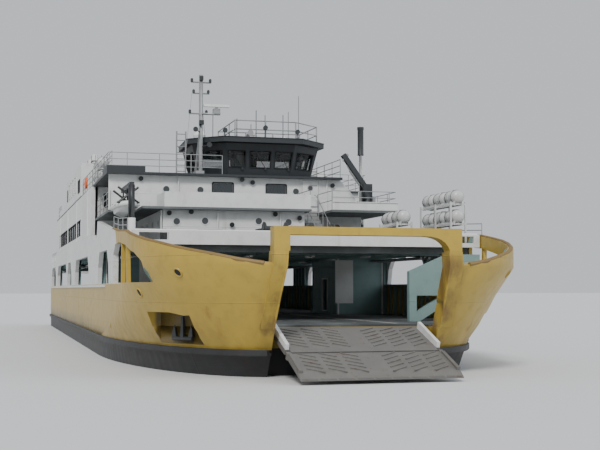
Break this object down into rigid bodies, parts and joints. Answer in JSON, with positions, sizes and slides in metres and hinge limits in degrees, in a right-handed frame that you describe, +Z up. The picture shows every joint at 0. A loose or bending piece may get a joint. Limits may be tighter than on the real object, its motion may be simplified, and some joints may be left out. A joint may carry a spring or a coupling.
{
  "type": "passenger and vehicle ferry with a bow ramp, 1:2 scale model",
  "caption": "Half-size model of a passenger and vehicle ferry with flared bow wings, a folding bow ramp, a stern ramp, a full-length row of side openings and a raised wheelhouse.",
  "frame": {"origin": "amidships on the centreline, at the waterline", "axes": "+X forward to the bow, +Y to port, +Z up"},
  "size_m": [35.7091, 8.62, 8.75],
  "materials": {
    "yellow_paint": "semi-gloss",
    "white_paint": "semi-gloss",
    "bottom_paint": "matte",
    "deck_paint": "matte",
    "inner_paint": "satin",
    "roof_paint": "matte",
    "bare_steel": "worn",
    "dark_fittings": "satin",
    "canister_shell": "gloss",
    "bronze": "polished",
    "window_glass": "clear"
  },
  "bodies": {
    "ship": {"hull_lower": "bottom_paint", "hull_upper": "yellow_paint", "car_deck": "deck_paint", "passenger_deck": "deck_paint", "boat_deck": "deck_paint", "bridge_deck": "roof_paint", "bow_wing_port": "yellow_paint", "bow_wing_starboard": "yellow_paint", "wing_frame_port": "inner_paint", "wing_frame_starboard": "inner_paint", "portal_beam": "yellow_paint", "side_shell_port": "white_paint", "side_shell_starboard": "white_paint", "stair_trunk_port": "inner_paint", "stair_trunk_starboard": "inner_paint", "lounge_wall_port": "white_paint", "lounge_wall_starboard": "white_paint", "lounge_glass_port": "window_glass", "lounge_glass_starboard": "window_glass", "front_bulwark": "white_paint", "lower_house": "white_paint", "upper_house": "white_paint", "boat_deck_bulwark": "white_paint", "wheelhouse": "roof_paint", "wheelhouse_glass": "window_glass", "wheelhouse_roof": "roof_paint", "wheelhouse_console": "dark_fittings", "roof_rail": "bare_steel", "mast": "bare_steel", "mast_ladder": "bare_steel", "funnel_casing_port": "white_paint", "funnel_casing_starboard": "white_paint", "front_stair": "bare_steel", "crane_pedestal": "white_paint", "derrick_post": "white_paint", "raft_rack_port": "canister_shell", "raft_rack_inner": "canister_shell", "raft_rack_starboard": "canister_shell", "davit_pedestal": "white_paint", "stern_frame": "white_paint", "anchor_port": "dark_fittings", "anchor_starboard": "dark_fittings", "mooring_winch": "dark_fittings"},
    "bow_ramp_inner": {"bow_ramp_inner": "bare_steel"},
    "bow_ramp_outer": {"bow_ramp_outer": "bare_steel"},
    "stern_ramp": {"stern_ramp": "bare_steel"},
    "propeller_port": {"propeller_port": "bronze"},
    "propeller_starboard": {"propeller_starboard": "bronze"},
    "rudder_port": {"rudder_port": "bottom_paint"},
    "rudder_starboard": {"rudder_starboard": "bottom_paint"},
    "radar_scanner": {"radar_scanner": "white_paint"},
    "crane_column": {"crane_column": "dark_fittings"},
    "crane_boom": {"crane_boom": "dark_fittings"},
    "lounge_door_port": {"lounge_door_port": "white_paint"},
    "lounge_door_starboard": {"lounge_door_starboard": "white_paint"},
    "boat_deck_door": {"boat_deck_door": "white_paint"},
    "wheelhouse_door": {"wheelhouse_door": "white_paint"},
    "rescue_davit": {"rescue_davit": "dark_fittings", "rescue_boat": "canister_shell"}
  },
  "joints": [
    {"name": "bow_ramp_lift", "type": "hinge", "parent": "ship", "child": "bow_ramp_inner", "pos_m": [15.9, 0, 0.91], "axis": [0, -1, 0], "range_deg": [0, 78]},
    {"name": "bow_ramp_fold", "type": "hinge", "parent": "bow_ramp_inner", "child": "bow_ramp_outer", "pos_m": [17.16859, 0, 0.44827], "axis": [0, -1, 0], "range_deg": [-150, 0]},
    {"name": "stern_ramp_lower", "type": "hinge", "parent": "ship", "child": "stern_ramp", "pos_m": [-17.375, 0, 1.065], "axis": [0, -1, 0], "range_deg": [0, 95]},
    {"name": "propeller_port_spin", "type": "hinge", "parent": "ship", "child": "propeller_port", "pos_m": [-15.2, 2, -0.84], "axis": [1, 0, 0], "continuous": true},
    {"name": "propeller_starboard_spin", "type": "hinge", "parent": "ship", "child": "propeller_starboard", "pos_m": [-15.2, -2, -0.84], "axis": [1, 0, 0], "continuous": true},
    {"name": "rudder_port_turn", "type": "hinge", "parent": "ship", "child": "rudder_port", "pos_m": [-15.95, 2, -0.7], "axis": [0, 0, 1], "range_deg": [-35, 35]},
    {"name": "rudder_starboard_turn", "type": "hinge", "parent": "ship", "child": "rudder_starboard", "pos_m": [-15.95, -2, -0.7], "axis": [0, 0, 1], "range_deg": [-35, 35]},
    {"name": "scanner_spin", "type": "hinge", "parent": "ship", "child": "radar_scanner", "pos_m": [8.525, -1.25, 6.6], "axis": [0, 0, 1], "continuous": true},
    {"name": "crane_slew", "type": "hinge", "parent": "ship", "child": "crane_column", "pos_m": [9.4, 2.7, 4], "axis": [0, 0, 1], "range_deg": [0, 170]},
    {"name": "crane_luff", "type": "hinge", "parent": "crane_column", "child": "crane_boom", "pos_m": [9.4, 2.7, 4.475], "axis": [-1, 0, 0], "range_deg": [-40, 20]},
    {"name": "davit_swing", "type": "hinge", "parent": "ship", "child": "rescue_davit", "pos_m": [11.125, -3.825, 3.45], "axis": [0, 0, 1], "range_deg": [0, 100]},
    {"name": "lounge_door_port_swing", "type": "hinge", "parent": "ship", "child": "lounge_door_port", "pos_m": [-12.5353, 1.6, 3.3], "axis": [0, 0, 1], "range_deg": [0, 100]},
    {"name": "lounge_door_starboard_swing", "type": "hinge", "parent": "ship", "child": "lounge_door_starboard", "pos_m": [-12.5353, -1.6, 3.3], "axis": [0, 0, -1], "range_deg": [0, 100]},
    {"name": "boat_deck_door_swing", "type": "hinge", "parent": "ship", "child": "boat_deck_door", "pos_m": [8.7353, 1.55, 4.3], "axis": [0, 0, 1], "range_deg": [0, 95]},
    {"name": "wheelhouse_door_swing", "type": "hinge", "parent": "ship", "child": "wheelhouse_door", "pos_m": [6.2647, -0.225, 5.3], "axis": [0, 0, 1], "range_deg": [0, 100]}
  ],
  "couplings": [
    {"joint": "bow_ramp_fold", "follows": "bow_ramp_lift", "ratio": -1.92},
    {"joint": "rudder_starboard_turn", "follows": "rudder_port_turn", "ratio": 1}
  ]
}
